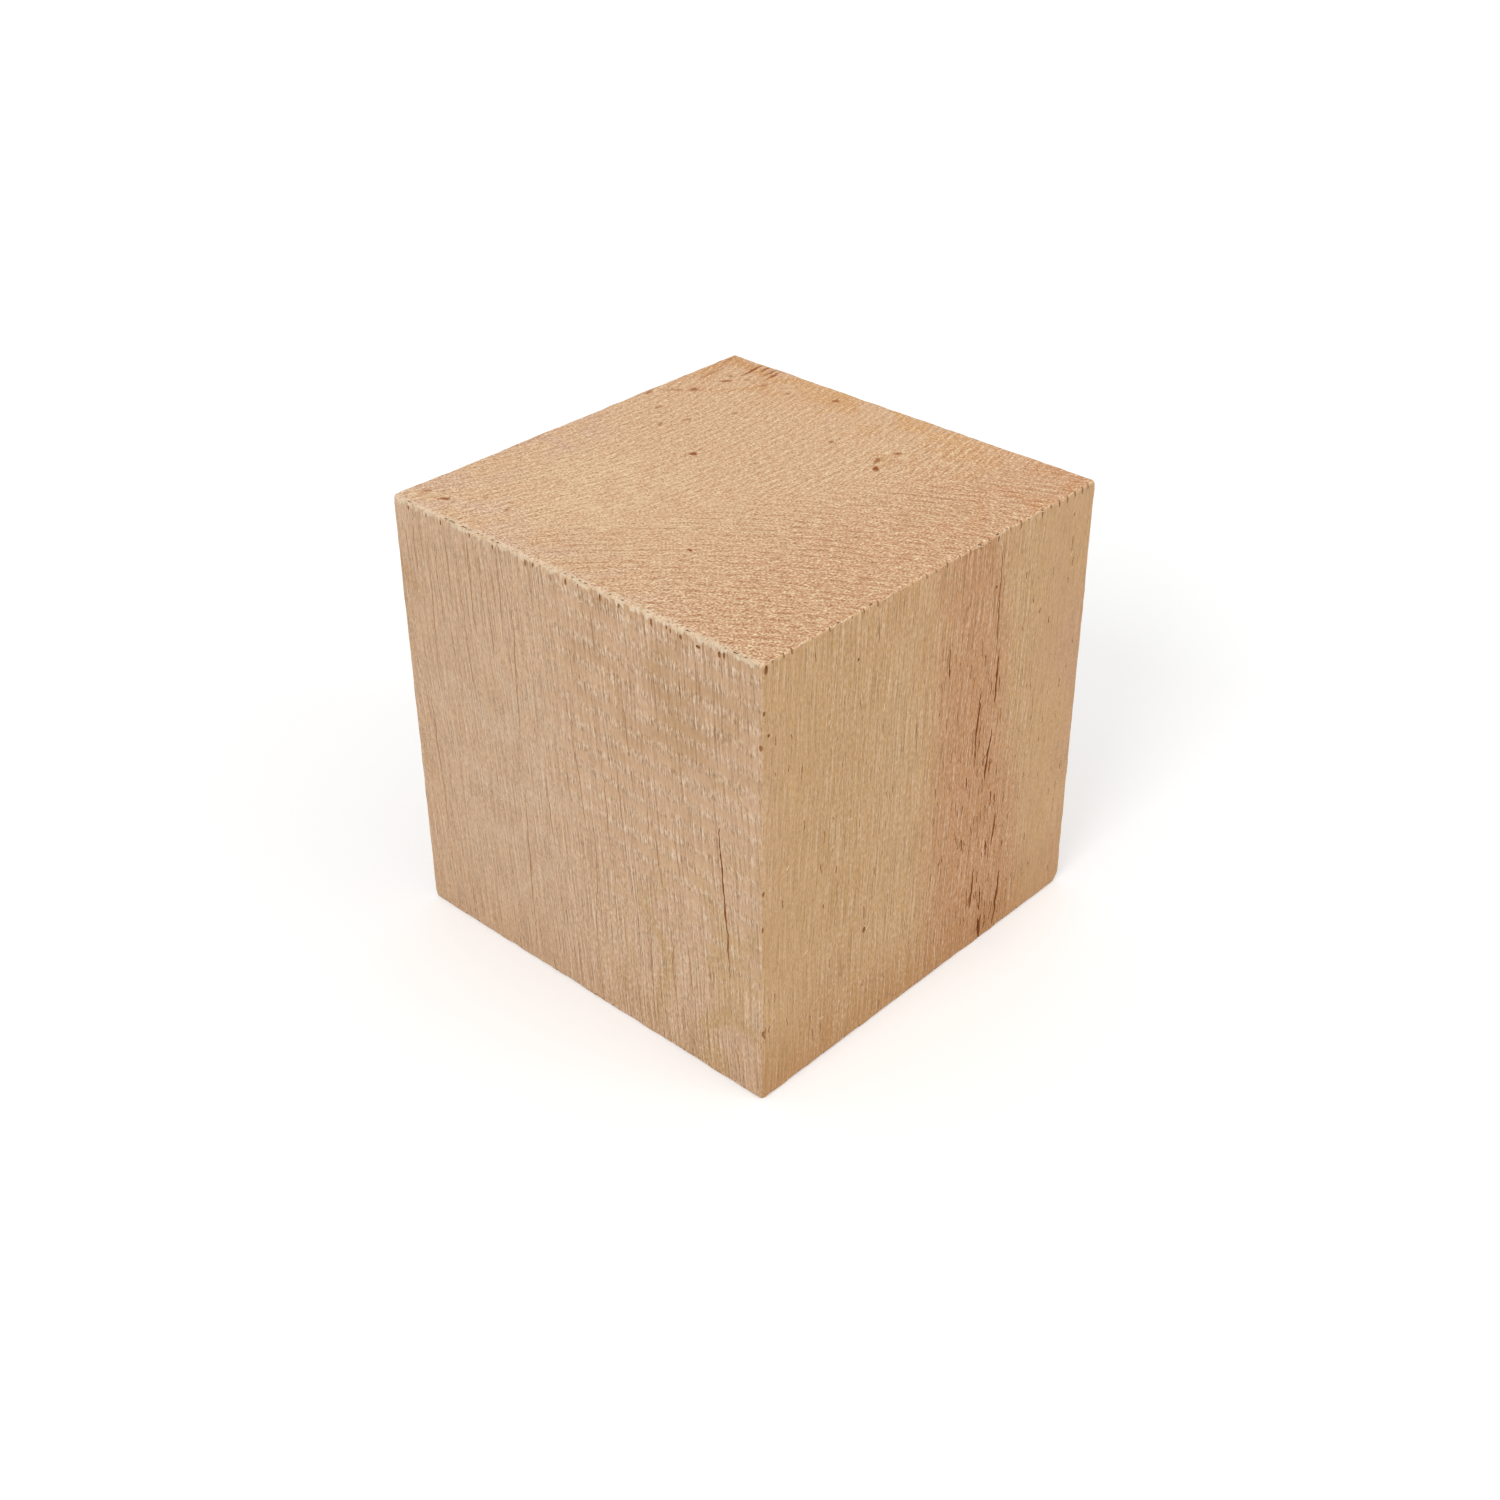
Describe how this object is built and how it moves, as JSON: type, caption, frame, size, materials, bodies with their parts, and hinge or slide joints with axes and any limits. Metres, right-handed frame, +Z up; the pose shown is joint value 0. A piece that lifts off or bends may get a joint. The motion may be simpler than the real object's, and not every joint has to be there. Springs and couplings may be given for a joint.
{
  "type": "wooden cube",
  "caption": "Plain solid wooden cube with upright grain, sawn faces, lightly eased edges and fine drying checks; a block to stack, glue, turn, carve or paint.",
  "frame": {"origin": "centre of the base, on the surface that the cube stands on", "axes": "+Z up along the grain; the sawn face looks along -X and the face with the drying checks along -Y, and they meet at the front edge"},
  "size_m": [0.06, 0.06, 0.06],
  "materials": {
    "sawn_wood": "raw sawn hardwood, pinkish tan with olive-yellow bands, matt and uncoated"
  },
  "bodies": {
    "root": {"wooden_cube": "sawn_wood"}
  },
  "joints": []
}
